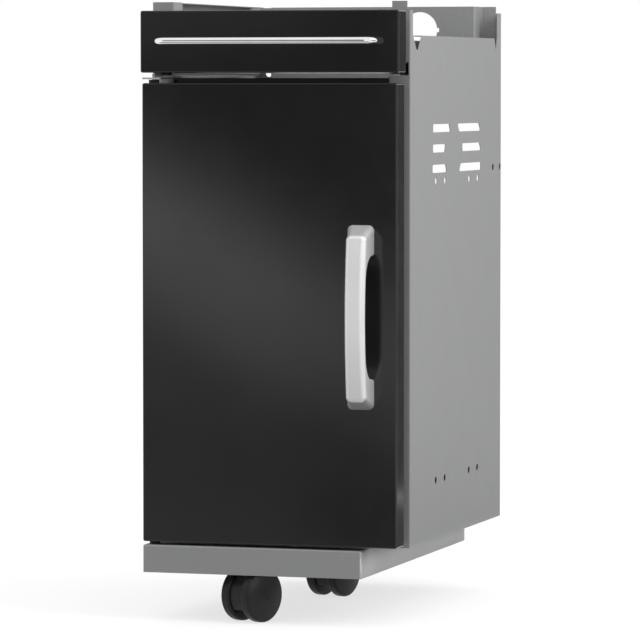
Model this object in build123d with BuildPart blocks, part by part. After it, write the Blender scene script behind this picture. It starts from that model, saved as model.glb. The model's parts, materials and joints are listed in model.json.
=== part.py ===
from build123d import *
import os
from math import cos, radians, sin, sqrt

# Grill side cabinet: a folded sheet-steel body on two twin-wheel castors, with a hinged door
# and a shallow drawer. X runs to the right seen from the front, Y to the back and Z up.
# Sizes are millimetres. The pieces are drawn with Y = 0 near the middle of the body, and each one
# is saved with the origin on the floor, under the middle of the whole cabinet with its handle.

# Sheet metal: thickness, bend radius, play round a screw, and how far a cut runs past the metal
sheet = 1.0
bend = 2.0
hole_gap = 0.1
past = 1

# Depth of the whole cabinet's middle, which becomes the origin of the saved pieces
middle_y = 5.25

# Cabinet body
body_width = 382
panel_front = -191
panel_rear = 310
shell_bottom = 108.5
left_top = 878
right_top = 830
flange_top = 865
rear_strip_top = 868
front_flange = 32
lip_depth = 38
lip_bottom = 112
rear_flange = 27
inner_flange = 20
foot_front_gap = 3
foot_rear_gap = 4
slot_wall = 3
left_flange = (-150, 262)
tab_left = 164
tab_right = 186

# Cut-down top edge of the right panel: strips left standing, notches and their depth
front_strip = 12
rear_strip = 24
notch_depth = 20
front_notch = 46
rear_notch = 16
notch_floor = 10
flange_end_gap = 4

# Right panel: vent slots with slanted ends, each with its middle height and the front and rear ends
# of its upper and lower edge, and bolt holes for the neighbouring cart
vent_height = 11.5
vent_corner = 2.5
vent_slots = (
    (698.5, (-72.5, 14), (-72.5, 22)),
    (669.5, (-73, -5), (-73, -10)),
    (640.5, (-75, -5), (-75, 1.5)),
    (698.5, (59, 180), (70.5, 191)),
    (669.5, (86.5, 182.5), (88, 194)),
    (640.5, (78.5, 191.5), (68.5, 191.5)),
)
bolt_r = 5.25
bolt_rows = (193, 623)
bolt_columns = (-56, -8, 126, 174)
link_columns = (262, 303)
link_height = 637

# Rear panels
fixing_x = 176
fixing_z = 778
hat_half_width = 160
hat_depth = 39
rear_half_width = 183
rear_upper_bottom = 752
rear_lower_top = 560
hose_x = 75
hose_z = 843
hose_r = 27
nick = 6

# Front rail
rail_bottom = 742
rail_top = 770
rail_depth = 26

# Cabinet floor
floor_side_gap = 0.5
floor_front_gap = 2
floor_rear_gap = 2.5
floor_lip = 15
floor_lip_gap = 4

# Door and drawer front: two sheet pans in one plane
door_front = -248
pan_depth = 36
pan_corner = 3
pan_edge = 2
door_width = 375
door_bottom = 113
door_height = 650
drawer_front_width = 380
drawer_front_bottom = 777.5
drawer_front_height = 87.5
liner_half_width = 153
liner_bottom = 150
liner_top = 728
liner_rear = -196
liner_corner = 8
pan_fit = 0.2

# Door hinge
hinge_x = -175.5
hinge_y = -230
pin_r = 3
running_gap = 0.05
bush_r = 5
bush_flange_r = 7.5
bush_length = 19
hinge_plate_bottom = 768.3
hinge_plate = 2.5
hinge_plate_width = 27
hinge_plate_drop = 10
hinge_plate_inset = 2
pin_top = 776
pin_end_gap = 2
pin_head = 4
pin_chamfer = 0.5
top_gap = 0.6
bottom_gap = 0.4
washer = 1.5
hinge_block = 18
hinge_block_left = 9
hinge_block_right = 16
hinge_block_front = 1.1
hinge_block_rear = 0.3

# Door handle: a cast arch on two feet, its right side straight, its left side sweeping out to the feet
handle_right = 154.5
handle_foot_width = 39
handle_front_width = 28.5
handle_z = 436
handle_half = 129
handle_end_drop = 14
handle_leg = 43
handle_end_reach = 43
handle_reach = 53.5
handle_gap = 41.5
handle_shoulder = 30
handle_shoulder_drop = 3.5
handle_edge = 4
handle_front_edge = 7
handle_corner = 8
handle_screw_z = 107
handle_screw_r = 2.5
handle_screw_depth = 14
handle_screw_head = 3

# Drawer
drawer_half_width = 152.5
drawer_bottom = 778
drawer_top = 824
drawer_rear = 186
bar_half = 159.5
bar_z = 822
bar_r = 5
bar_stand = 22
bar_bend = 12
bar_screw_depth = 10

# Drawer slides: three nested channels a side
slide_z = 782.75
slide_sheet = 1.2
slide_front = -189
slide_length = 380
slide_outer_x = 162.5
slide_half = 8.5
slide_lip = 7
slide_bend = 1.8
slide_gap = 0.4
bracket_front = -150
bracket_inset = 0.5
bracket_foot = 12
slot_bottom = 773
slot_top = 792.5

# Magnet catch
catch_z = 610
catch_height = 30
catch_depth = 15
catch_face = -193.5
strike = 1.5
strike_width = 12

# Base tray
tray_left = -187.5
tray_right = 135.5
tray_bottom = 69
tray_sheet = 2
tray_edge = 2.5

# Castors: cross beam, plate with stem, hood with wheel guard, axle and two wheels
castor_x = -25.5
front_castor_y = -186
rear_castor_y = 98
front_castor_turn = -24
rear_castor_turn = 164
beam_web = 93
beam_sheet = 2
beam_bend = 3
beam_half = 32
beam_foot = 14
beam_half_length = 125
castor_plate = 3
castor_plate_size = 58
castor_plate_corner = 6
castor_bolt = 21
castor_screw_r = 3
castor_screw_head_r = 5
castor_screw_head = 4
castor_screw_end = 4
trail = 28
stem_r = 5
stem_bottom = 58
stem_end_gap = 2
swivel_gap = 0.4
wheel_r = 38
wheel_inner = 10.5
wheel_outer = 30
wheel_dome = 5
tread_edge = 4
axle_r = 4
axle_half = 24
axle_end_gap = 0.5
hood_half = 9.5
hood_r = 41
hood_front = 20
hood_below = 8
web_r = 34
web_below = 20
boss_r = 16
boss_bottom = 58
guard_inner = 39.6
guard_outer = 42
guard_half = 29
guard_start = 42
guard_sweep = 70

# Small screws
screw_r = 2
screw_head_r = 4
screw_head = 2
rear_screw_length = 6
hinge_screw_length = 5
rear_screw_x = 173.5
rear_screw_heights = (140, 340, 545, 760, 815)
hinge_screws = (-182, -168)
hinge_screw_z = 752
floor_screws = [(x, y) for x in (-150, 100) for y in (-110, 230)]
floor_screw_r = 3
floor_screw_length = 12
floor_screw_head_r = 5.5
floor_screw_head = 3

# Values worked out from the sizes above
half_width = body_width / 2
face_inside = half_width - sheet
lip_x = half_width - front_flange
tray_top = shell_bottom
floor_top = shell_bottom + sheet
door_top = door_bottom + door_height
door_middle = door_bottom + door_height / 2
drawer_front_middle = drawer_front_bottom + drawer_front_height / 2
pan_rear = door_front + pan_depth
pan_lining = 2 * (sheet + pan_fit)
hat_face = panel_rear - sheet - hat_depth
hinge_plate_top = hinge_plate_bottom + hinge_plate
washer_top = tray_top + washer
tray_under = tray_top - tray_sheet
plate_bottom = beam_web - castor_plate
hood_top = plate_bottom - swivel_gap
dome_r = (wheel_r**2 + wheel_dome**2) / (2 * wheel_dome)
sides = (("left", -1), ("right", 1))
castors = (("front", front_castor_y, front_castor_turn), ("rear", rear_castor_y, rear_castor_turn))

os.makedirs("parts", exist_ok=True)


def save(builder, name):
    """Moves a finished piece to the shared origin, labels it and writes it to its own file."""
    piece = Pos(0, -middle_y, 0) * builder.part
    piece.label = name
    export_step(piece, f"parts/{name}.step")


def handed(points, side):
    """Returns the right-hand outline as it is, or mirrored for the left-hand side."""
    if side > 0:
        return points
    return [(-x, y) for x, y in reversed(points)]


def folded_sheet(plane, points, length, thickness=sheet, radius=bend):
    """Adds a bent strip: the points run along one face and the metal lies to their right."""
    with BuildSketch(plane) as section:
        with BuildLine():
            FilletPolyline(*points, radius=radius)
            offset(amount=thickness, side=Side.RIGHT)
        make_face()
    extrude(section.sketch, amount=length)


def block(low, high, mode=Mode.ADD):
    """Adds or cuts a box between two corners."""
    size = [b - a for a, b in zip(low, high)]
    with Locations(tuple(low)):
        Box(*size, align=(Align.MIN, Align.MIN, Align.MIN), mode=mode)


def post(x, y, low, high, radius, mode=Mode.ADD):
    """Adds or cuts an upright cylinder."""
    with Locations((x, y, low)):
        Cylinder(radius, high - low, align=(Align.CENTER, Align.CENTER, Align.MIN), mode=mode)


def rod(x, front, rear, z, radius, mode=Mode.ADD):
    """Adds or cuts a cylinder that lies from front to back."""
    with Locations(Location((x, front, z), (-90, 0, 0))):
        Cylinder(radius, rear - front, align=(Align.CENTER, Align.CENTER, Align.MIN), mode=mode)


def cut_hole(x, front, rear, z, radius):
    """Cuts a screw's clearance hole through metal that lies between two planes."""
    rod(x, front - past, rear + past, z, radius + hole_gap, Mode.SUBTRACT)


def side_shell(side):
    """Adds the folded shell that both side panels share."""
    outline = [
        (half_width - rear_flange, panel_rear),
        (half_width, panel_rear),
        (half_width, panel_front),
        (lip_x, panel_front),
        (lip_x, panel_front + lip_depth),
    ]
    folded_sheet(Plane.XY.offset(shell_bottom), handed(outline, side), left_top - shell_bottom)
    foot = sorted((side * (face_inside - inner_flange), side * face_inside))
    block(
        (foot[0], panel_front + foot_front_gap, floor_top),
        (foot[1], panel_rear - foot_rear_gap, floor_top + sheet),
    )
    lip = sorted((side * (lip_x - past), side * (lip_x + sheet + past)))
    block(
        (lip[0], panel_front + sheet, shell_bottom),
        (lip[1], panel_front + lip_depth + past, lip_bottom),
        Mode.SUBTRACT,
    )
    slot = sorted((side * (lip_x - past), side * (half_width - slot_wall)))
    block(
        (slot[0], panel_front - past, slot_bottom),
        (slot[1], panel_front + lip_depth + past, slot_top),
        Mode.SUBTRACT,
    )
    for z in rear_screw_heights:
        cut_hole(side * rear_screw_x, panel_rear - sheet, panel_rear, z, screw_r)
    rod(side * fixing_x, panel_rear - 2 * sheet, panel_rear + past, fixing_z, bolt_r, Mode.SUBTRACT)


# Left side panel: full height, with an inward flange along its top
with BuildPart() as left_side_panel:
    side_shell(-1)
    flange_start, flange_end = left_flange
    block(
        (-face_inside, flange_start, left_top - sheet),
        (inner_flange - face_inside, flange_end, left_top),
    )
    for x in hinge_screws:
        cut_hole(x, panel_front, panel_front + sheet, hinge_screw_z, screw_r)
save(left_side_panel, "left_side_panel")

# Right side panel: its top edge is cut down between a front tab and a rear strip
with BuildPart() as right_side_panel:
    side_shell(1)
    notch_start = panel_front + front_strip
    notch_end = panel_rear - rear_strip
    with BuildSketch(Plane.YZ.offset(face_inside - past)):
        with BuildLine():
            Polyline(
                (notch_start, left_top + past),
                (notch_start, right_top),
                (notch_start + (front_notch - notch_floor) / 2, right_top - notch_depth),
                (notch_start + (front_notch + notch_floor) / 2, right_top - notch_depth),
                (notch_start + front_notch, right_top),
                (notch_end - rear_notch, right_top),
                (notch_end - rear_notch / 2, right_top - notch_depth),
                (notch_end, right_top),
                (notch_end, left_top + past),
                close=True,
            )
        make_face()
    extrude(amount=sheet + 2 * past, mode=Mode.SUBTRACT)
    block(
        (face_inside - inner_flange, notch_start + front_notch + flange_end_gap, right_top - sheet),
        (face_inside, notch_end - rear_notch - flange_end_gap, right_top),
    )
    for low, high in ((lip_x - past, tab_left), (tab_right, half_width + past)):
        block(
            (low, panel_front - past, flange_top),
            (high, panel_front + lip_depth + past, left_top + past),
            Mode.SUBTRACT,
        )
    block(
        (half_width - rear_flange - past, notch_end - past, rear_strip_top),
        (half_width + past, panel_rear + past, left_top + past),
        Mode.SUBTRACT,
    )
    with BuildSketch(Plane.YZ.offset(face_inside - past)):
        for middle, upper, lower in vent_slots:
            with BuildLine():
                FilletPolyline(
                    (lower[0], middle - vent_height / 2),
                    (lower[1], middle - vent_height / 2),
                    (upper[1], middle + vent_height / 2),
                    (upper[0], middle + vent_height / 2),
                    radius=vent_corner,
                    close=True,
                )
            make_face()
        with Locations(*[(y, z) for y in bolt_columns for z in bolt_rows]):
            Circle(bolt_r)
        with Locations(*[(y, link_height) for y in link_columns]):
            Circle(bolt_r)
    extrude(amount=sheet + 2 * past, mode=Mode.SUBTRACT)
save(right_side_panel, "right_side_panel")

# Rear upper panel: a hat section with a round hole for a hose and a small nick in its edge
with BuildPart() as rear_upper_panel:
    hat = [
        (-rear_half_width, panel_rear - sheet),
        (-hat_half_width, panel_rear - sheet),
        (-hat_half_width, hat_face),
        (hat_half_width, hat_face),
        (hat_half_width, panel_rear - sheet),
        (rear_half_width, panel_rear - sheet),
    ]
    folded_sheet(Plane.XY.offset(rear_upper_bottom), hat, left_top - rear_upper_bottom)
    with BuildSketch(Plane.XZ.offset(-hat_face)):
        with Locations((hose_x, hose_z)):
            Circle(hose_r)
        with Locations((hose_x + hose_r, hose_z)):
            Rectangle(nick, nick)
    extrude(amount=sheet + past, both=True, mode=Mode.SUBTRACT)
    for side in (-1, 1):
        for z in rear_screw_heights[3:]:
            cut_hole(side * rear_screw_x, panel_rear - 2 * sheet, panel_rear - sheet, z, screw_r)
        rod(side * fixing_x, panel_rear - 3 * sheet, panel_rear, fixing_z, bolt_r, Mode.SUBTRACT)
save(rear_upper_panel, "rear_upper_panel")

# Rear lower panel, with its top edge folded forward
with BuildPart() as rear_lower_panel:
    plate = [
        (panel_rear - sheet - inner_flange, rear_lower_top),
        (panel_rear - sheet, rear_lower_top),
        (panel_rear - sheet, floor_top),
    ]
    folded_sheet(Plane.YZ.offset(-rear_half_width), plate, 2 * rear_half_width)
    for side in (-1, 1):
        for z in rear_screw_heights[:3]:
            cut_hole(side * rear_screw_x, panel_rear - 2 * sheet, panel_rear - sheet, z, screw_r)
save(rear_lower_panel, "rear_lower_panel")

# Cabinet floor, with its front edge turned up between the panels' lips
floor_half = face_inside - floor_side_gap
floor_front = panel_front + floor_front_gap
floor_lip_half = lip_x - floor_lip_gap
with BuildPart() as cabinet_floor:
    block((-floor_half, floor_front, shell_bottom), (floor_half, panel_rear - floor_rear_gap, floor_top))
    block(
        (-floor_lip_half, floor_front, floor_top),
        (floor_lip_half, floor_front + sheet, floor_top + floor_lip),
    )
    for x, y in floor_screws:
        post(x, y, shell_bottom - past, floor_top + past, floor_screw_r + hole_gap, Mode.SUBTRACT)
save(cabinet_floor, "cabinet_floor")

# Front rail behind the gap between the door and the drawer front
rail_face = panel_front + sheet
with BuildPart() as front_top_rail:
    channel = [
        (rail_face + rail_depth, rail_bottom),
        (rail_face, rail_bottom),
        (rail_face, rail_top),
        (rail_face + rail_depth, rail_top),
    ]
    folded_sheet(Plane.YZ.offset(-lip_x), channel, 2 * lip_x)
save(front_top_rail, "front_top_rail")

# Base tray: open below, narrower than the body and flush with the door's left edge
with BuildPart() as base_tray:
    block((tray_left, door_front, tray_bottom), (tray_right, panel_rear, tray_top))
    fillet(base_tray.edges().filter_by(Axis.Z), tray_edge)
    fillet(base_tray.faces().sort_by(Axis.Z)[-1].edges(), tray_edge)
    offset(amount=-tray_sheet, openings=base_tray.faces().sort_by(Axis.Z)[0])
    post(hinge_x, hinge_y, tray_bottom, tray_top + past, pin_r + hole_gap, Mode.SUBTRACT)
    for x, y in floor_screws:
        post(x, y, tray_bottom, tray_top + past, floor_screw_r + hole_gap, Mode.SUBTRACT)
save(base_tray, "base_tray")

with BuildPart() as floor_screw_group:
    for x, y in floor_screws:
        post(x, y, floor_top - floor_screw_length, floor_top, floor_screw_r)
        post(x, y, floor_top, floor_top + floor_screw_head, floor_screw_head_r)
save(floor_screw_group, "floor_screws")

with BuildPart() as rear_screws:
    for side in (-1, 1):
        for z in rear_screw_heights:
            rod(side * rear_screw_x, panel_rear - rear_screw_length, panel_rear, z, screw_r)
            rod(side * rear_screw_x, panel_rear, panel_rear + screw_head, z, screw_head_r)
save(rear_screws, "rear_panel_screws")

# Upper hinge plate on the left flange, and the two hinge pins
with BuildPart() as top_hinge_plate:
    bracket = [
        (door_front + hinge_plate_inset, hinge_plate_top),
        (panel_front, hinge_plate_top),
        (panel_front, hinge_screw_z - hinge_plate_drop),
    ]
    folded_sheet(Plane.YZ.offset(tray_left), bracket, hinge_plate_width, hinge_plate, hinge_plate + sheet)
    post(
        hinge_x,
        hinge_y,
        hinge_plate_bottom - past,
        hinge_plate_top + past,
        pin_r + hole_gap,
        Mode.SUBTRACT,
    )
    for x in hinge_screws:
        cut_hole(x, panel_front - hinge_plate, panel_front, hinge_screw_z, screw_r)
save(top_hinge_plate, "top_hinge_plate")

with BuildPart() as hinge_screw_group:
    for x in hinge_screws:
        head_rear = panel_front - hinge_plate
        rod(x, head_rear, panel_front + hinge_screw_length, hinge_screw_z, screw_r)
        rod(x, head_rear - screw_head, head_rear, hinge_screw_z, screw_head_r)
save(hinge_screw_group, "hinge_plate_screws")

with BuildPart() as top_hinge_pin:
    post(hinge_x, hinge_y, door_top - bush_length + pin_end_gap, pin_top, pin_r)
    chamfer(top_hinge_pin.edges().filter_by(GeomType.CIRCLE), pin_chamfer)
save(top_hinge_pin, "top_hinge_pin")

with BuildPart() as bottom_hinge_pin:
    post(hinge_x, hinge_y, tray_under - pin_head, tray_under, 2 * pin_r)
    post(hinge_x, hinge_y, tray_under, door_bottom + bush_length - pin_end_gap, pin_r)
    chamfer(bottom_hinge_pin.faces().sort_by(Axis.Z)[-1].edges(), pin_chamfer)
save(bottom_hinge_pin, "bottom_hinge_pin")

with BuildPart() as hinge_washer:
    post(hinge_x, hinge_y, tray_top, washer_top, bush_flange_r)
    post(hinge_x, hinge_y, tray_top, washer_top, pin_r + hole_gap, Mode.SUBTRACT)
save(hinge_washer, "hinge_washer")

# Door: outer skin, liner, hinge blocks and bushes
handle_x = handle_right - handle_foot_width / 2
handle_screw_places = [(handle_x, handle_z - handle_screw_z), (handle_x, handle_z + handle_screw_z)]
with BuildPart() as door_skin:
    with BuildSketch(Plane.XZ.offset(-door_front)):
        with Locations((0, door_middle)):
            RectangleRounded(door_width, door_height, pan_corner)
    extrude(amount=-pan_depth)
    fillet(door_skin.faces().sort_by(Axis.Y)[0].edges(), pan_edge)
    offset(amount=-sheet, openings=door_skin.faces().sort_by(Axis.Y)[-1])
    post(hinge_x, hinge_y, door_bottom - past, door_top + past, bush_r + running_gap, Mode.SUBTRACT)
    for x, z in handle_screw_places:
        cut_hole(x, door_front, door_front + sheet, z, handle_screw_r)
save(door_skin, "door_skin")

liner_width = 2 * liner_half_width
liner_height = liner_top - liner_bottom
liner_middle = (liner_top + liner_bottom) / 2
with BuildPart() as door_liner:
    with BuildSketch(Plane.XZ.offset(-pan_rear)):
        with Locations((0, door_middle)):
            RectangleRounded(door_width - pan_lining, door_height - pan_lining, pan_corner)
    extrude(amount=sheet)
    with BuildSketch(Plane.XZ.offset(-liner_rear)):
        with Locations((0, liner_middle)):
            RectangleRounded(liner_width, liner_height, liner_corner)
    extrude(amount=liner_rear - pan_rear)
    fillet(door_liner.faces().sort_by(Axis.Y)[-1].edges(), pan_edge)
    with BuildSketch(Plane.XZ.offset(sheet - liner_rear)):
        with Locations((0, liner_middle)):
            RectangleRounded(liner_width - 2 * sheet, liner_height - 2 * sheet, liner_corner - sheet)
    extrude(amount=liner_rear - pan_rear, mode=Mode.SUBTRACT)
save(door_liner, "door_liner")

with BuildPart() as hinge_blocks:
    for low in (door_bottom + sheet, door_top - sheet - hinge_block):
        block(
            (hinge_x - hinge_block_left, door_front + sheet + hinge_block_front, low),
            (hinge_x + hinge_block_right, pan_rear - sheet - hinge_block_rear, low + hinge_block),
        )
    post(hinge_x, hinge_y, door_bottom, door_top, bush_r + running_gap, Mode.SUBTRACT)
save(hinge_blocks, "hinge_blocks")

with BuildPart() as top_hinge_bush:
    post(hinge_x, hinge_y, door_top - bush_length, door_top, bush_r)
    post(hinge_x, hinge_y, door_top, hinge_plate_bottom - top_gap, bush_flange_r)
    post(hinge_x, hinge_y, door_top - bush_length, pin_top, pin_r + running_gap, Mode.SUBTRACT)
save(top_hinge_bush, "top_hinge_bush")

with BuildPart() as bottom_hinge_bush:
    post(hinge_x, hinge_y, door_bottom, door_bottom + bush_length, bush_r)
    post(hinge_x, hinge_y, washer_top + bottom_gap, door_bottom, bush_flange_r)
    post(hinge_x, hinge_y, tray_top, door_bottom + bush_length, pin_r + running_gap, Mode.SUBTRACT)
save(bottom_hinge_bush, "bottom_hinge_bush")

# Door handle, seen from the side: slanted ends, a bowed front and a hollow arch behind
with BuildPart() as door_handle:
    leg_end = handle_half - handle_leg
    outer_end = handle_half - handle_end_drop
    arch_end = leg_end - handle_shoulder
    arch_reach = handle_gap - handle_shoulder_drop
    arch_round = handle_shoulder * sqrt(0.5)
    with BuildSketch(Plane.YZ.offset(handle_right - handle_foot_width - past)):
        with BuildLine():
            for up in (1, -1):
                Line((door_front, handle_z + up * leg_end), (door_front, handle_z + up * handle_half))
                Line(
                    (door_front, handle_z + up * handle_half),
                    (door_front - handle_end_reach, handle_z + up * outer_end),
                )
                ThreePointArc(
                    (door_front, handle_z + up * leg_end),
                    (door_front - arch_reach * sqrt(0.5), handle_z + up * (arch_end + arch_round)),
                    (door_front - arch_reach, handle_z + up * arch_end),
                )
            for edge, reach, half in (
                (handle_end_reach, handle_reach, outer_end),
                (arch_reach, handle_gap, arch_end),
            ):
                ThreePointArc(
                    (door_front - edge, handle_z + half),
                    (door_front - reach, handle_z),
                    (door_front - edge, handle_z - half),
                )
        make_face()
    extrude(amount=handle_foot_width + 2 * past)
    sweep_x = handle_foot_width - handle_front_width
    sweep_y = handle_reach + 2 * past
    sweep_r = (sweep_x**2 + sweep_y**2) / (2 * sweep_x)
    with BuildSketch(Plane.XY.offset(handle_z - handle_half - past)):
        with BuildLine():
            front_left = (handle_right - handle_front_width, door_front - handle_reach - past)
            foot_left = (handle_right - handle_foot_width, door_front + past)
            Polyline(
                front_left,
                (handle_right, door_front - handle_reach - past),
                (handle_right, door_front + past),
                foot_left,
            )
            RadiusArc(foot_left, front_left, sweep_r)
        make_face()
    extrude(amount=2 * (handle_half + past), mode=Mode.INTERSECT)
    by_height = door_handle.faces().sort_by(Axis.Z)
    end_edges = by_height[0].edges() + by_height[-1].edges()
    fillet(end_edges.filter_by(Axis.X, reverse=True), handle_corner)
    front = door_handle.faces().sort_by(Axis.Y)[0]
    fillet([edge for edge in front.edges() if edge.length > handle_half], handle_front_edge)
    feet = door_handle.faces().filter_by(Plane.XZ).edges()
    fillet([edge for edge in door_handle.edges() if edge not in feet], handle_edge)
    for x, z in handle_screw_places:
        cut_hole(x, door_front - handle_screw_depth, door_front, z, handle_screw_r)
save(door_handle, "door_handle")

with BuildPart() as handle_screws:
    for x, z in handle_screw_places:
        head_front = door_front + sheet
        rod(x, door_front - handle_screw_depth, head_front, z, handle_screw_r)
        rod(x, head_front, head_front + handle_screw_head, z, 2 * handle_screw_r)
save(handle_screws, "handle_screws")

# Magnet catch on the right lip and its strike plate on the door liner
catch_left = liner_half_width - catch_depth
catch_top = catch_z + catch_height
with BuildPart() as magnet_catch:
    block((catch_left, catch_face, catch_z), (lip_x, catch_face + catch_depth, catch_top))
save(magnet_catch, "magnet_catch")

with BuildPart() as strike_plate:
    block((catch_left, liner_rear, catch_z), (catch_left + strike_width, liner_rear + strike, catch_top))
save(strike_plate, "strike_plate")

# Drawer: front pan, its backing, the box and a bar handle with bent ends
bar_ends = (-bar_half, bar_half)
with BuildPart() as drawer_front:
    with BuildSketch(Plane.XZ.offset(-door_front)):
        with Locations((0, drawer_front_middle)):
            RectangleRounded(drawer_front_width, drawer_front_height, pan_corner)
    extrude(amount=-pan_depth)
    fillet(drawer_front.faces().sort_by(Axis.Y)[0].edges(), pan_edge)
    offset(amount=-sheet, openings=drawer_front.faces().sort_by(Axis.Y)[-1])
    for x in bar_ends:
        cut_hole(x, door_front, door_front + sheet, bar_z, screw_r)
save(drawer_front, "drawer_front")

with BuildPart() as drawer_backing:
    with BuildSketch(Plane.XZ.offset(-pan_rear)):
        with Locations((0, drawer_front_middle)):
            RectangleRounded(drawer_front_width - pan_lining, drawer_front_height - pan_lining, pan_corner)
    extrude(amount=sheet)
save(drawer_backing, "drawer_front_backing")

with BuildPart() as drawer_box:
    block((-drawer_half_width, pan_rear, drawer_bottom), (drawer_half_width, drawer_rear, drawer_top))
    fillet(drawer_box.edges().filter_by(Axis.Z), bend)
    offset(amount=-sheet, openings=drawer_box.faces().sort_by(Axis.Z)[-1])
save(drawer_box, "drawer_box")

with BuildPart() as drawer_bar:
    with BuildLine(Plane.XY.offset(bar_z)) as bar_path:
        FilletPolyline(
            (-bar_half, door_front),
            (-bar_half, door_front - bar_stand),
            (bar_half, door_front - bar_stand),
            (bar_half, door_front),
            radius=bar_bend,
        )
    with BuildSketch(Plane(origin=bar_path.line @ 0, z_dir=bar_path.line % 0)):
        Circle(bar_r)
    sweep()
    for x in bar_ends:
        cut_hole(x, door_front - bar_screw_depth, door_front, bar_z, screw_r)
save(drawer_bar, "drawer_bar")

with BuildPart() as bar_screws:
    for x in bar_ends:
        head_front = door_front + sheet
        rod(x, door_front - bar_screw_depth, head_front, bar_z, screw_r)
        rod(x, head_front, head_front + screw_head, bar_z, screw_head_r)
save(bar_screws, "bar_screws")

# Drawer slides: spacer bracket, outer, middle and inner channel, each nested in the last
slide_step = slide_sheet + slide_gap
slide_end = slide_front + slide_length
slide_rear = Plane.XZ.offset(-slide_end)
for word, side in sides:
    with BuildPart() as slide_bracket:
        leg = slide_half - bracket_inset
        foot_height = leg + bracket_foot
        web = slide_outer_x + slide_sheet
        hat = [
            (face_inside, slide_z + foot_height),
            (face_inside, slide_z + leg),
            (web, slide_z + leg),
            (web, slide_z - leg),
            (face_inside, slide_z - leg),
            (face_inside, slide_z - foot_height),
        ]
        folded_sheet(slide_rear, handed(hat, side), slide_end - bracket_front, slide_sheet, slide_bend)
    save(slide_bracket, f"{word}_slide_bracket")

    with BuildPart() as slide_outer:
        outer = [
            (slide_outer_x - slide_lip, slide_z + slide_half),
            (slide_outer_x, slide_z + slide_half),
            (slide_outer_x, slide_z - slide_half),
            (slide_outer_x - slide_lip, slide_z - slide_half),
        ]
        folded_sheet(slide_rear, handed(outer, side), slide_length, slide_sheet, slide_bend)
    save(slide_outer, f"{word}_slide_outer")

    with BuildPart() as slide_middle:
        middle_half = slide_half - slide_step
        middle_x = slide_outer_x - slide_step
        middle = [
            (middle_x - slide_lip, slide_z + middle_half),
            (middle_x, slide_z + middle_half),
            (middle_x, slide_z - middle_half),
            (middle_x - slide_lip, slide_z - middle_half),
        ]
        folded_sheet(slide_rear, handed(middle, side), slide_length, slide_sheet, slide_bend)
    save(slide_middle, f"{word}_slide_middle")

    with BuildPart() as slide_inner:
        inner_half = middle_half - slide_step
        inner_end = middle_x - slide_step
        inner = [
            (inner_end, slide_z - inner_half),
            (drawer_half_width, slide_z - inner_half),
            (drawer_half_width, slide_z + inner_half),
            (inner_end, slide_z + inner_half),
        ]
        folded_sheet(slide_rear, handed(inner, side), slide_length, slide_sheet, slide_bend)
    save(slide_inner, f"{word}_slide_inner")

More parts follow.
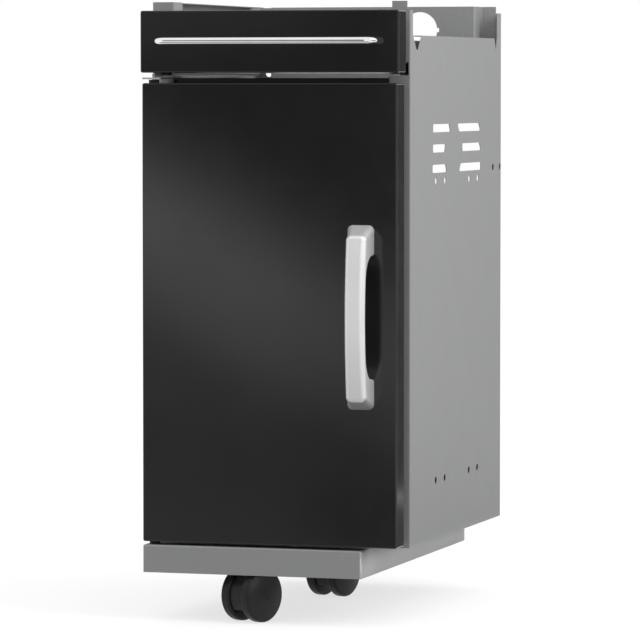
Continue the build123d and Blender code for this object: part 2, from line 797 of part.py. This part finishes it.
# Castors: a cross beam in the tray, a plate with a stem, a swivelling hood, an axle, two wheels
bolt_ways = (-castor_bolt, castor_bolt)
for word, castor_y, turn in castors:
    axle_way = Vector(cos(radians(turn)), sin(radians(turn)), 0)
    roll_way = Vector(-sin(radians(turn)), cos(radians(turn)), 0)
    hub = Vector(castor_x, castor_y, wheel_r) - roll_way * trail
    wheel_plane = Plane(origin=hub, x_dir=roll_way, z_dir=axle_way)
    bolts = [(castor_x + x, castor_y + y) for x in bolt_ways for y in bolt_ways]

    with BuildPart() as castor_beam:
        web = beam_web + beam_sheet
        hat = [
            (castor_y - beam_half - beam_foot, tray_under),
            (castor_y - beam_half, tray_under),
            (castor_y - beam_half, web),
            (castor_y + beam_half, web),
            (castor_y + beam_half, tray_under),
            (castor_y + beam_half + beam_foot, tray_under),
        ]
        beam_end = Plane.YZ.offset(castor_x - beam_half_length)
        folded_sheet(beam_end, hat, 2 * beam_half_length, beam_sheet, beam_bend)
        for x, y in bolts:
            post(x, y, beam_web - past, web + past, castor_screw_r + hole_gap, Mode.SUBTRACT)
    save(castor_beam, f"{word}_castor_beam")

    with BuildPart() as castor_mount:
        with BuildSketch(Plane.XY.offset(plate_bottom)):
            with Locations((castor_x, castor_y)):
                RectangleRounded(castor_plate_size, castor_plate_size, castor_plate_corner)
            with Locations(*bolts):
                Circle(castor_screw_r + hole_gap, mode=Mode.SUBTRACT)
        extrude(amount=castor_plate)
        post(castor_x, castor_y, stem_bottom, plate_bottom, stem_r)
    save(castor_mount, f"{word}_castor_plate")

    with BuildPart() as castor_screws:
        for x, y in bolts:
            post(x, y, plate_bottom, beam_web + beam_sheet + castor_screw_end, castor_screw_r)
            post(x, y, plate_bottom - castor_screw_head, plate_bottom, castor_screw_head_r)
    save(castor_screws, f"{word}_castor_screws")

    with BuildPart() as castor_hood:
        with BuildSketch(wheel_plane):
            Circle(hood_r)
            with Locations((0, -hood_r - hood_below)):
                Rectangle(3 * hood_r, 2 * hood_r, mode=Mode.SUBTRACT)
            with Locations((-hood_r - hood_front, 0)):
                Rectangle(2 * hood_r, 3 * hood_r, mode=Mode.SUBTRACT)
        extrude(amount=hood_half, both=True)
        with BuildSketch(wheel_plane):
            Circle(web_r)
            with Locations((0, -web_r - web_below)):
                Rectangle(3 * web_r, 2 * web_r, mode=Mode.SUBTRACT)
        extrude(amount=hood_half, both=True)
        with BuildSketch(wheel_plane):
            with BuildLine():
                outer_arc = CenterArc((0, 0), guard_outer, guard_start, guard_sweep)
                inner_arc = CenterArc((0, 0), guard_inner, guard_start, guard_sweep)
                Line(outer_arc @ 0, inner_arc @ 0)
                Line(outer_arc @ 1, inner_arc @ 1)
            make_face()
        extrude(amount=guard_half, both=True)
        post(castor_x, castor_y, boss_bottom, hood_top, boss_r)
        for way in (axle_way, -axle_way):
            with BuildSketch(Plane(origin=hub + way * hood_half, x_dir=roll_way, z_dir=way)):
                Circle(guard_inner)
            extrude(amount=guard_half, mode=Mode.SUBTRACT)
        post(
            castor_x,
            castor_y,
            stem_bottom - stem_end_gap,
            hood_top + past,
            stem_r + running_gap,
            Mode.SUBTRACT,
        )
        with BuildSketch(wheel_plane):
            Circle(axle_r + running_gap)
        extrude(amount=hood_half + past, both=True, mode=Mode.SUBTRACT)
    save(castor_hood, f"{word}_castor_hood")

    with BuildPart() as castor_axle:
        with BuildSketch(wheel_plane):
            Circle(axle_r)
        extrude(amount=axle_half, both=True)
    save(castor_axle, f"{word}_castor_axle")

    # Wheels: a flat tread with eased edges, a slightly domed outer face and a blind bore
    for way in (axle_way, -axle_way):
        inner_face = Plane(origin=hub + way * wheel_inner, x_dir=roll_way, z_dir=way)
        with BuildPart() as wheel:
            with BuildSketch(inner_face):
                Circle(wheel_r)
            extrude(amount=wheel_outer - wheel_inner)
            with Locations(inner_face.offset(wheel_outer - wheel_inner - dome_r)):
                Sphere(dome_r, mode=Mode.INTERSECT)
            tread = wheel.faces().filter_by(GeomType.CYLINDER)[0]
            fillet([rim for rim in tread.edges() if rim.is_closed], tread_edge)
            with BuildSketch(inner_face):
                Circle(axle_r + running_gap)
            extrude(amount=axle_half + axle_end_gap - wheel_inner, mode=Mode.SUBTRACT)
        hand = "right" if way.X > 0 else "left"
        save(wheel, f"{word}_castor_{hand}_wheel")
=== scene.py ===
import json
import math

import bmesh
import bpy
from mathutils import Matrix, Vector


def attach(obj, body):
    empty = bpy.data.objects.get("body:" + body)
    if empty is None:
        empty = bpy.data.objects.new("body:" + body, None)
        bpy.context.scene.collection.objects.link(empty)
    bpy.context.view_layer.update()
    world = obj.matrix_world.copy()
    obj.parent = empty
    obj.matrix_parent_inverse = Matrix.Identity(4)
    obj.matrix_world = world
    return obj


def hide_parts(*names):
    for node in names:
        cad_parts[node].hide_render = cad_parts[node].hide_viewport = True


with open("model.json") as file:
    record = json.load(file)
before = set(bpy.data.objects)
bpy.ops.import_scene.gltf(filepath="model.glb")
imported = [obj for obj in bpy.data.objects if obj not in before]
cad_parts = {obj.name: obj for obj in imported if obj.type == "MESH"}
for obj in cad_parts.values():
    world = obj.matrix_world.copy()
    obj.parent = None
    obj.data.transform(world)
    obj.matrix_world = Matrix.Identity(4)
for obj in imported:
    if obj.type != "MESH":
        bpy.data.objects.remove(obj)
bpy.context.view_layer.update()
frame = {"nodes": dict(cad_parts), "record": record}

# Looks of a grill side cabinet: silver-grey powder-coated body, gloss black door and drawer front,
# satin aluminium handle, chrome bar and black castors. Lengths are metres, in the model's frame.

# Camera, fitted to the corners of the door, base and side panel in the photograph
camera_place = (1.873, -6.13425, 0.758)
camera_yaw = 0.2966
camera_pitch = 0.0530
camera_lens = 247.5
camera_sensor = 36.0
camera_far = 100.0

# Studio: floor, world light, two lamps and the cards that only reflections see
floor_size = 40.0
floor_glow = 0.70
floor_tone = 0.32
floor_bounce = 0.22
world_base = 0.10
world_light_edge = -0.1
world_lights = (
    ((1.0, 0.05, 0.18), 0.50),
    ((-0.1, -0.24, 1.0), 0.95),
    ((-0.7, 0.7, 0.3), 0.40),
)
softbox_place = (2.2, -0.6, 1.9)
softbox_target = (0.19, 0.04, 0.55)
softbox_size = (1.6, 1.6)
softbox_power = 30.0
strip_place = (0.80, 0.02, 0.084)
strip_target = (0.14, 0.02, 0.084)
strip_size = (0.74, 0.02)
strip_power = 0.05
strip_spread = math.radians(5)
card_y = -1.20525
lying_z = 0.002
door_card_low = (-0.62, card_y, 0.0)
door_card_high = (-0.02, card_y, 1.25)
front_card_low = (-1.3, -2.206, lying_z)
front_card_high = (0.9, -0.346, lying_z)
side_card_low = (0.46, 1.744, 0.0)
side_card_high = (1.0, 1.744, 1.05)
right_card_low = (2.0, -2.0, 0.0)
right_card_high = (2.0, 0.4, 1.5)
side_floor_low = (0.20, -0.5, lying_z)
side_floor_high = (1.2, 1.75, lying_z)
card_dark = 0.16
front_card_level = 0.45
side_card_level = 0.10
side_floor_level = 0.15
right_card_level = 0.40
glow_middle = (-0.304, card_y, 0.447)
glow_tilt = math.radians(26)
glow_low = -0.30
glow_high = 0.20

# Fades of the cards and levels on the door card, each a place from 0 to 1 and a level
soft_sides = ((0.0, 0.0), (0.08, 1.0), (0.93, 1.0), (1.0, 0.0))
soft_top = ((0.0, 1.0), (0.95, 1.0), (1.0, 0.0))
soft_all = ((0.0, 0.0), (0.15, 1.0), (0.85, 1.0), (1.0, 0.0))
near_edge = ((0.0, 0.0), (0.3, 1.0), (0.97, 1.0), (1.0, 0.0))
glow_across = (
    (0.0, 0.0), (0.24, 0.16), (0.35, 0.58), (0.47, 0.97), (0.59, 1.16),
    (0.70, 0.88), (0.82, 0.34), (0.94, 0.04), (1.0, 0.0),
)
glow_sideways = ((0.15, 1.14), (0.40, 1.0), (0.87, 0.55))
pale_upwards = (
    (0.0, 0.36), (0.09, 0.26), (0.26, 0.22), (0.37, 0.0),
    (0.62, 0.0), (0.71, 0.30), (0.78, 0.0),
)
pale_sideways = ((0.2, 1.0), (0.50, 0.85), (0.75, 0.15), (0.9, 0.1))

# The part of a noise value's range that a finish uses
noise_low = 0.3
noise_high = 0.7

# Screws: the axis each set lies along, and the profile of head and recess as shares of the head
screw_axes = {
    "rear_panel_screws": 1,
    "hinge_plate_screws": 1,
    "handle_screws": 1,
    "bar_screws": 1,
    "floor_screws": 2,
    "front_castor_screws": 2,
    "rear_castor_screws": 2,
}
head_profile = ((1.0, 0.0), (1.0, 0.28), (0.95, 0.52), (0.84, 0.74), (0.70, 0.89), (0.58, 0.96))
recess_profile = ((1.0, 0.99), (0.92, 0.62), (0.55, 0.30))
recess_arm = 0.5
recess_half = 0.13
recess_steps = 3
shank_tip = 0.6
rim_share = 0.9
plain_shank = 0.5
sharp_angle = math.radians(38)
weld_gap = 1e-5

record_slots = {part["node"]: part["material_slot"] for part in frame["record"]["subparts"]}
record_bodies = frame["record"]["behaviour"]["bodies"]
node_bodies = {node: body for body, nodes in record_bodies.items() for node in nodes}


def new_material(name):
    """Returns a new node material, its shader and its object coordinates."""
    material = bpy.data.materials.new(name)
    material.use_nodes = True
    nodes = material.node_tree.nodes
    shader = nodes["Principled BSDF"]
    place = nodes.new("ShaderNodeTexCoord")
    return material, shader, place.outputs["Object"]


def link(socket_from, socket_to):
    socket_to.id_data.links.new(socket_from, socket_to)


def noise(material, place, scale, detail):
    """Adds a noise texture and returns its value."""
    node = material.node_tree.nodes.new("ShaderNodeTexNoise")
    node.inputs["Scale"].default_value = scale
    node.inputs["Detail"].default_value = detail
    link(place, node.inputs["Vector"])
    return node.outputs["Fac"]


def spread(material, value, low, high):
    """Turns a noise value into a number between low and high."""
    node = material.node_tree.nodes.new("ShaderNodeMapRange")
    node.inputs["From Min"].default_value = noise_low
    node.inputs["From Max"].default_value = noise_high
    node.inputs["To Min"].default_value = low
    node.inputs["To Max"].default_value = high
    link(value, node.inputs["Value"])
    return node.outputs["Result"]


def two_tones(material, value, dark, light, start=noise_low, end=noise_high):
    """Turns a noise value into a colour between two greys."""
    node = material.node_tree.nodes.new("ShaderNodeValToRGB")
    low, high = node.color_ramp.elements
    low.position = start
    high.position = end
    low.color = (*dark, 1)
    high.color = (*light, 1)
    link(value, node.inputs["Fac"])
    return node.outputs["Color"]


def bump(material, shader, height, distance, strength):
    """Adds fine relief to a shader."""
    node = material.node_tree.nodes.new("ShaderNodeBump")
    node.inputs["Strength"].default_value = strength
    node.inputs["Distance"].default_value = distance
    link(height, node.inputs["Height"])
    link(node.outputs["Normal"], shader.inputs["Normal"])


def silver_paint():
    """Silver-grey powder coat: a fine metallic grain, with slow, faint changes of roughness."""
    material, shader, place = new_material("silver_paint")
    grain = noise(material, place, scale=900, detail=2.0)
    colour = two_tones(material, grain, dark=(0.30, 0.302, 0.305), light=(0.355, 0.357, 0.36))
    patches = noise(material, place, scale=14, detail=4.0)
    link(colour, shader.inputs["Base Color"])
    link(spread(material, patches, low=0.40, high=0.50), shader.inputs["Roughness"])
    shader.inputs["Metallic"].default_value = 0.08
    relief = noise(material, place, scale=1400, detail=2.0)
    bump(material, shader, relief, distance=0.00006, strength=0.5)
    return material


def black_enamel():
    """Gloss black enamel with a trace of orange peel."""
    material, shader, place = new_material("black_enamel")
    tone = noise(material, place, scale=9, detail=3.0)
    colour = two_tones(material, tone, dark=(0.0085, 0.0085, 0.009), light=(0.0115, 0.0115, 0.012))
    haze = noise(material, place, scale=22, detail=5.0)
    link(colour, shader.inputs["Base Color"])
    link(spread(material, haze, low=0.10, high=0.15), shader.inputs["Roughness"])
    orange_peel = noise(material, place, scale=240, detail=1.0)
    bump(material, shader, orange_peel, distance=0.00002, strength=0.25)
    return material


def satin_aluminium():
    """Blasted and clear-anodised aluminium."""
    material, shader, place = new_material("satin_aluminium")
    tone = noise(material, place, scale=1600, detail=2.0)
    colour = two_tones(material, tone, dark=(0.84, 0.84, 0.845), light=(0.91, 0.91, 0.915))
    patches = noise(material, place, scale=60, detail=4.0)
    link(colour, shader.inputs["Base Color"])
    link(spread(material, patches, low=0.40, high=0.48), shader.inputs["Roughness"])
    shader.inputs["Metallic"].default_value = 0.6
    blasting = noise(material, place, scale=2600, detail=2.0)
    bump(material, shader, blasting, distance=0.00004, strength=0.4)
    return material


def chrome():
    """Polished chrome plate with the faintest haze."""
    material, shader, place = new_material("chrome")
    tone = noise(material, place, scale=40, detail=3.0)
    colour = two_tones(material, tone, dark=(0.80, 0.80, 0.81), light=(0.86, 0.86, 0.87))
    haze = noise(material, place, scale=120, detail=4.0)
    link(colour, shader.inputs["Base Color"])
    link(spread(material, haze, low=0.04, high=0.09), shader.inputs["Roughness"])
    shader.inputs["Metallic"].default_value = 1.0
    return material


def zinc_steel():
    """Bright zinc plate: small crystals of slightly different tone."""
    material, shader, place = new_material("zinc_steel")
    cells = material.node_tree.nodes.new("ShaderNodeTexVoronoi")
    cells.inputs["Scale"].default_value = 260
    link(place, cells.inputs["Vector"])
    colour = two_tones(
        material, cells.outputs["Color"],
        dark=(0.38, 0.385, 0.39), light=(0.52, 0.525, 0.53), start=0.2, end=0.8)
    patches = noise(material, place, scale=90, detail=4.0)
    link(colour, shader.inputs["Base Color"])
    link(spread(material, patches, low=0.28, high=0.42), shader.inputs["Roughness"])
    shader.inputs["Metallic"].default_value = 0.9
    relief = noise(material, place, scale=700, detail=2.0)
    bump(material, shader, relief, distance=0.00004, strength=0.3)
    return material


def moulded_plastic(name, dark, light, rough):
    """Moulded plastic with a fine spark-eroded texture."""
    material, shader, place = new_material(name)
    tone = noise(material, place, scale=70, detail=3.0)
    patches = noise(material, place, scale=160, detail=4.0)
    link(two_tones(material, tone, dark, light), shader.inputs["Base Color"])
    link(spread(material, patches, *rough), shader.inputs["Roughness"])
    shader.inputs["Specular IOR Level"].default_value = 0.22
    erosion = noise(material, place, scale=1500, detail=2.0)
    bump(material, shader, erosion, distance=0.00008, strength=0.35)
    return material


def dress_nodes():
    """Gives every CAD node the material of its slot."""
    finishes = {
        "silver_paint": silver_paint(),
        "black_enamel": black_enamel(),
        "satin_aluminium": satin_aluminium(),
        "chrome": chrome(),
        "zinc_steel": zinc_steel(),
        "black_plastic": moulded_plastic(
            "black_plastic",
            dark=(0.013, 0.013, 0.0135), light=(0.019, 0.019, 0.02), rough=(0.36, 0.48)),
        "nylon": moulded_plastic(
            "nylon",
            dark=(0.03, 0.03, 0.031), light=(0.045, 0.045, 0.046), rough=(0.44, 0.56)),
    }
    for name, node in frame["nodes"].items():
        node.data.materials.clear()
        node.data.materials.append(finishes[record_slots[name]])
    return finishes


def loose_parts(node):
    """Returns the corner points of each separate solid in a CAD node."""
    solid = bmesh.new()
    solid.from_mesh(node.data)
    bmesh.ops.remove_doubles(solid, verts=solid.verts, dist=weld_gap)
    parts = []
    for start in solid.verts:
        if start.tag:
            continue
        start.tag = True
        part = []
        waiting = [start]
        while waiting:
            corner = waiting.pop()
            part.append(corner.co.copy())
            for edge in corner.link_edges:
                other = edge.other_vert(corner)
                if not other.tag:
                    other.tag = True
                    waiting.append(other)
        parts.append(part)
    solid.free()
    return parts


def read_screw(part, axis):
    """Measures one CAD screw: its head's seat, its way out, its radii and its lengths."""
    low = [min(corner[i] for corner in part) for i in range(3)]
    high = [max(corner[i] for corner in part) for i in range(3)]
    middle = Vector([(a + b) / 2 for a, b in zip(low, high)])
    others = [i for i in range(3) if i != axis]

    def radius(corner):
        return math.hypot(*[corner[i] - middle[i] for i in others])

    head_r = max(radius(corner) for corner in part)
    head_places = [corner[axis] for corner in part if radius(corner) > rim_share * head_r]
    shank_places = [corner for corner in part if radius(corner) < rim_share * head_r]
    shank_r = max((radius(corner) for corner in shank_places), default=plain_shank * head_r)
    faces_up = max(head_places) > high[axis] - weld_gap
    seat = min(head_places) if faces_up else max(head_places)
    out = Vector([0, 0, 0])
    out[axis] = 1 if faces_up else -1
    middle[axis] = seat
    head = max(head_places) - min(head_places)
    shank = seat - low[axis] if faces_up else high[axis] - seat
    return middle, out, head_r, shank_r, head, shank


def cross_outline(arm, half_width):
    """Points round a cross recess, with a few steps along each arm."""
    quarter = [(arm, 0.0), (arm, half_width)]
    quarter += [(arm + (half_width - arm) * step / recess_steps, half_width)
                for step in range(1, recess_steps)]
    quarter += [(half_width, half_width)]
    quarter += [(half_width, half_width + (arm - half_width) * step / recess_steps)
                for step in range(1, recess_steps + 1)]
    points = []
    for turn in range(4):
        spin = Matrix.Rotation(turn * math.pi / 2, 2)
        points += [spin @ Vector(point) for point in quarter]
    return points


def screw_rings(head_r, shank_r, head, shank):
    """Rings of points from the tip of a screw over its domed head down into its cross recess."""
    recess = cross_outline(recess_arm * head_r, recess_half * head_r)
    ways = [point.normalized() for point in recess]
    tip = shank_tip * shank_r
    rings = [[(way.x * tip, way.y * tip, -shank) for way in ways]]
    for r, z in ((shank_r, tip - shank), (shank_r, 0.0)):
        rings.append([(way.x * r, way.y * r, z) for way in ways])
    for r, z in head_profile:
        rings.append([(way.x * r * head_r, way.y * r * head_r, z * head) for way in ways])
    for scale, z in recess_profile:
        rings.append([(point.x * scale, point.y * scale, z * head) for point in recess])
    return rings


def add_screw(mesh, place, out, sizes):
    """Adds one screw with a domed, cross-recessed head to a mesh."""
    turn = Vector((0, 0, 1)).rotation_difference(out).to_matrix()
    rings = [
        [mesh.verts.new(place + turn @ Vector(point)) for point in ring]
        for ring in screw_rings(*sizes)
    ]
    count = len(rings[0])
    for ring, above in zip(rings, rings[1:]):
        for i in range(count):
            j = (i + 1) % count
            mesh.faces.new((ring[i], ring[j], above[j], above[i]))
    mesh.faces.new(list(reversed(rings[0])))
    mesh.faces.new(rings[-1])


def dress_screws(finish):
    """Replaces the plain CAD screws with screws that have domed heads and cross recesses."""
    for name, axis in screw_axes.items():
        mesh = bmesh.new()
        for part in loose_parts(frame["nodes"][name]):
            place, out, *sizes = read_screw(part, axis)
            add_screw(mesh, place, out, sizes)
        data = bpy.data.meshes.new(f"{name}_domed")
        mesh.to_mesh(data)
        mesh.free()
        data.materials.append(finish)
        data.shade_smooth()
        data.set_sharp_from_angle(angle=sharp_angle)
        piece = bpy.data.objects.new(f"{name}_domed", data)
        bpy.context.scene.collection.objects.link(piece)
        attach(piece, node_bodies[name])
        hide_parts(name)


def combine(tree, operation, first, second):
    """Adds or multiplies two values, or a value and a number."""
    node = tree.nodes.new("ShaderNodeMath")
    node.operation = operation
    link(first, node.inputs[0])
    if isinstance(second, float):
        node.inputs[1].default_value = second
    else:
        link(second, node.inputs[1])
    return node.outputs[0]


def shown_rays(tree):
    """Returns 1 for camera, glossy and transmission rays, and 0 for the rays that carry light."""
    path = tree.nodes.new("ShaderNodeLightPath")
    total = path.outputs["Is Camera Ray"]
    for name in ("Is Glossy Ray", "Is Transmission Ray"):
        add = tree.nodes.new("ShaderNodeMath")
        add.operation = "ADD"
        add.use_clamp = True
        link(total, add.inputs[0])
        link(path.outputs[name], add.inputs[1])
        total = add.outputs[0]
    return total


def directed_light(tree, direction, way, strength):
    """Returns light that comes softly from one direction."""
    dot = tree.nodes.new("ShaderNodeVectorMath")
    dot.operation = "DOT_PRODUCT"
    dot.inputs[1].default_value = Vector(way).normalized()
    link(direction, dot.inputs[0])
    fade = tree.nodes.new("ShaderNodeMapRange")
    fade.interpolation_type = "SMOOTHSTEP"
    fade.inputs["From Min"].default_value = world_light_edge
    fade.inputs["To Max"].default_value = strength
    link(dot.outputs["Value"], fade.inputs["Value"])
    return fade.outputs["Result"]


def make_world():
    """White surroundings to look at, and soft light from the right, from above and from behind."""
    world = bpy.data.worlds.new("studio")
    world.use_nodes = True
    bpy.context.scene.world = world
    tree = world.node_tree
    light = tree.nodes["Background"]
    white = tree.nodes.new("ShaderNodeBackground")
    mix = tree.nodes.new("ShaderNodeMixShader")
    place = tree.nodes.new("ShaderNodeTexCoord").outputs["Generated"]
    total = world_base
    for way, strength in world_lights:
        total = combine(tree, "ADD", directed_light(tree, place, way, strength), total)
    link(total, light.inputs["Strength"])
    light.inputs["Color"].default_value = (1, 1, 1, 1)
    white.inputs["Color"].default_value = (1, 1, 1, 1)
    link(shown_rays(tree), mix.inputs["Fac"])
    link(light.outputs[0], mix.inputs[1])
    link(white.outputs[0], mix.inputs[2])
    link(mix.outputs[0], tree.nodes["World Output"].inputs["Surface"])


def area_lamp(name, place, target, size, power, beam=math.pi):
    """Adds a rectangular lamp that points at a target. The camera doesn't see it."""
    data = bpy.data.lights.new(name, "AREA")
    data.shape = "RECTANGLE"
    data.size, data.size_y = size
    data.energy = power
    data.spread = beam
    lamp = bpy.data.objects.new(name, data)
    lamp.location = place
    lamp.visible_camera = False
    aim = Vector(target) - Vector(place)
    lamp.rotation_euler = aim.to_track_quat("-Z", "Y").to_euler()
    bpy.context.scene.collection.objects.link(lamp)


def make_lamps():
    """A soft lamp high on the right, and a low strip that lights the side of the base."""
    area_lamp("right_softbox", softbox_place, softbox_target, softbox_size, softbox_power)
    area_lamp("low_strip", strip_place, strip_target, strip_size, strip_power, strip_spread)


def flat_piece(name, corners):
    """Returns a four-cornered face as a new object."""
    mesh = bpy.data.meshes.new(name)
    mesh.from_pydata(corners, [], [(0, 1, 2, 3)])
    piece = bpy.data.objects.new(name, mesh)
    bpy.context.scene.collection.objects.link(piece)
    return piece


def make_floor():
    """A pale floor that stays white in view and keeps the cabinet's soft shadow."""
    half = floor_size / 2
    floor = flat_piece("floor", lying((-half, -half, 0), (half, half, 0)))
    material = bpy.data.materials.new("pale_floor")
    material.use_nodes = True
    tree = material.node_tree
    tree.nodes.remove(tree.nodes["Principled BSDF"])
    carrying = tree.nodes.new("ShaderNodeBsdfDiffuse")
    carrying.inputs["Color"].default_value = (floor_bounce, floor_bounce, floor_bounce, 1)
    seen = tree.nodes.new("ShaderNodeBsdfDiffuse")
    seen.inputs["Color"].default_value = (floor_tone, floor_tone, floor_tone, 1)
    glow = tree.nodes.new("ShaderNodeEmission")
    glow.inputs["Strength"].default_value = floor_glow
    both = tree.nodes.new("ShaderNodeAddShader")
    mix = tree.nodes.new("ShaderNodeMixShader")
    link(seen.outputs[0], both.inputs[0])
    link(glow.outputs[0], both.inputs[1])
    link(shown_rays(tree), mix.inputs["Fac"])
    link(carrying.outputs[0], mix.inputs[1])
    link(both.outputs[0], mix.inputs[2])
    link(mix.outputs[0], tree.nodes["Material Output"].inputs["Surface"])
    floor.data.materials.append(material)


def ramp(tree, value, stops, smooth=True):
    """Runs a value through a row of grey stops, each a place from 0 to 1 and a level."""
    node = tree.nodes.new("ShaderNodeValToRGB")
    node.color_ramp.interpolation = "EASE" if smooth else "LINEAR"
    elements = node.color_ramp.elements
    while len(elements) < len(stops):
        elements.new(0.5)
    for element, (place, level) in zip(elements, stops):
        element.position = place
        element.color = (level, level, level, 1)
    link(value, node.inputs["Fac"])
    return node.outputs["Color"]


def reflection_card(name, corners, fades):
    """A card that only reflections see, with soft edges. Returns its nodes, glow and place."""
    card = flat_piece(name, corners)
    card.visible_camera = False
    card.visible_diffuse = False
    card.visible_transmission = False
    card.visible_volume_scatter = False
    card.visible_shadow = False
    material = bpy.data.materials.new(name)
    material.use_nodes = True
    card.data.materials.append(material)
    tree = material.node_tree
    tree.nodes.remove(tree.nodes["Principled BSDF"])
    glow = tree.nodes.new("ShaderNodeEmission")
    clear = tree.nodes.new("ShaderNodeBsdfTransparent")
    mix = tree.nodes.new("ShaderNodeMixShader")
    split = tree.nodes.new("ShaderNodeSeparateXYZ")
    place = tree.nodes.new("ShaderNodeTexCoord")
    link(place.outputs["Generated"], split.inputs[0])
    masks = [ramp(tree, split.outputs[axis], stops) for axis, stops in fades.items()]
    link(combine(tree, "MULTIPLY", *masks), mix.inputs["Fac"])
    link(clear.outputs[0], mix.inputs[1])
    link(glow.outputs[0], mix.inputs[2])
    link(mix.outputs[0], tree.nodes["Material Output"].inputs["Surface"])
    return tree, glow, split


def upright(low, high):
    """Corners of an upright card."""
    return [low, (high[0], low[1], low[2]), high, (low[0], low[1], high[2])]


def upright_right(low, high):
    """Corners of an upright card that stands along Y."""
    return [low, (low[0], high[1], low[2]), high, (low[0], low[1], high[2])]


def lying(low, high):
    """Corners of a card on the floor."""
    return [low, (high[0], low[1], low[2]), high, (low[0], high[1], low[2])]


def make_cards():
    """What the gloss surfaces mirror: a dark card with a slanted light, and four plain ones."""
    tree, glow, split = reflection_card(
        "door_card", upright(door_card_low, door_card_high), {"X": soft_sides, "Z": soft_top})
    place = tree.nodes.new("ShaderNodeTexCoord")
    mapping = tree.nodes.new("ShaderNodeMapping")
    mapping.vector_type = "TEXTURE"
    mapping.inputs["Location"].default_value = glow_middle
    mapping.inputs["Rotation"].default_value = (0, glow_tilt, 0)
    link(place.outputs["Object"], mapping.inputs["Vector"])
    turned = tree.nodes.new("ShaderNodeSeparateXYZ")
    link(mapping.outputs[0], turned.inputs[0])
    across = tree.nodes.new("ShaderNodeMapRange")
    across.inputs["From Min"].default_value = glow_low
    across.inputs["From Max"].default_value = glow_high
    link(turned.outputs["Z"], across.inputs["Value"])
    strip = ramp(tree, across.outputs["Result"], glow_across, False)
    strip_fade = ramp(tree, split.outputs["X"], glow_sideways, False)
    plain = ramp(tree, split.outputs["Z"], pale_upwards, False)
    plain_fade = ramp(tree, split.outputs["X"], pale_sideways, False)
    bright = combine(tree, "MULTIPLY", strip, strip_fade)
    pale = combine(tree, "MULTIPLY", plain, plain_fade)
    total = combine(tree, "ADD", combine(tree, "ADD", bright, pale), card_dark)
    link(total, glow.inputs["Strength"])

    plain_cards = (
        ("front_card", lying(front_card_low, front_card_high),
         {"X": soft_all, "Y": near_edge}, front_card_level),
        ("side_card", upright(side_card_low, side_card_high),
         {"X": soft_all, "Z": soft_top}, side_card_level),
        ("right_card", upright_right(right_card_low, right_card_high),
         {"Y": soft_all, "Z": soft_top}, right_card_level),
        ("side_floor_card", lying(side_floor_low, side_floor_high),
         {"X": soft_all, "Y": soft_all}, side_floor_level),
    )
    for name, corners, fades, level in plain_cards:
        _, glow, _ = reflection_card(name, corners, fades)
        glow.inputs["Strength"].default_value = level


def make_camera():
    """The camera at the photograph's angle."""
    data = bpy.data.cameras.new("camera")
    data.lens = camera_lens
    data.sensor_width = camera_sensor
    data.clip_end = camera_far
    camera = bpy.data.objects.new("camera", data)
    camera.location = camera_place
    camera.rotation_euler = (math.pi / 2 - camera_pitch, 0, camera_yaw)
    bpy.context.scene.collection.objects.link(camera)
    bpy.context.scene.camera = camera


finishes = dress_nodes()
dress_screws(finishes["zinc_steel"])
make_world()
make_lamps()
make_floor()
make_cards()
make_camera()
bpy.context.scene.view_settings.view_transform = "Standard"
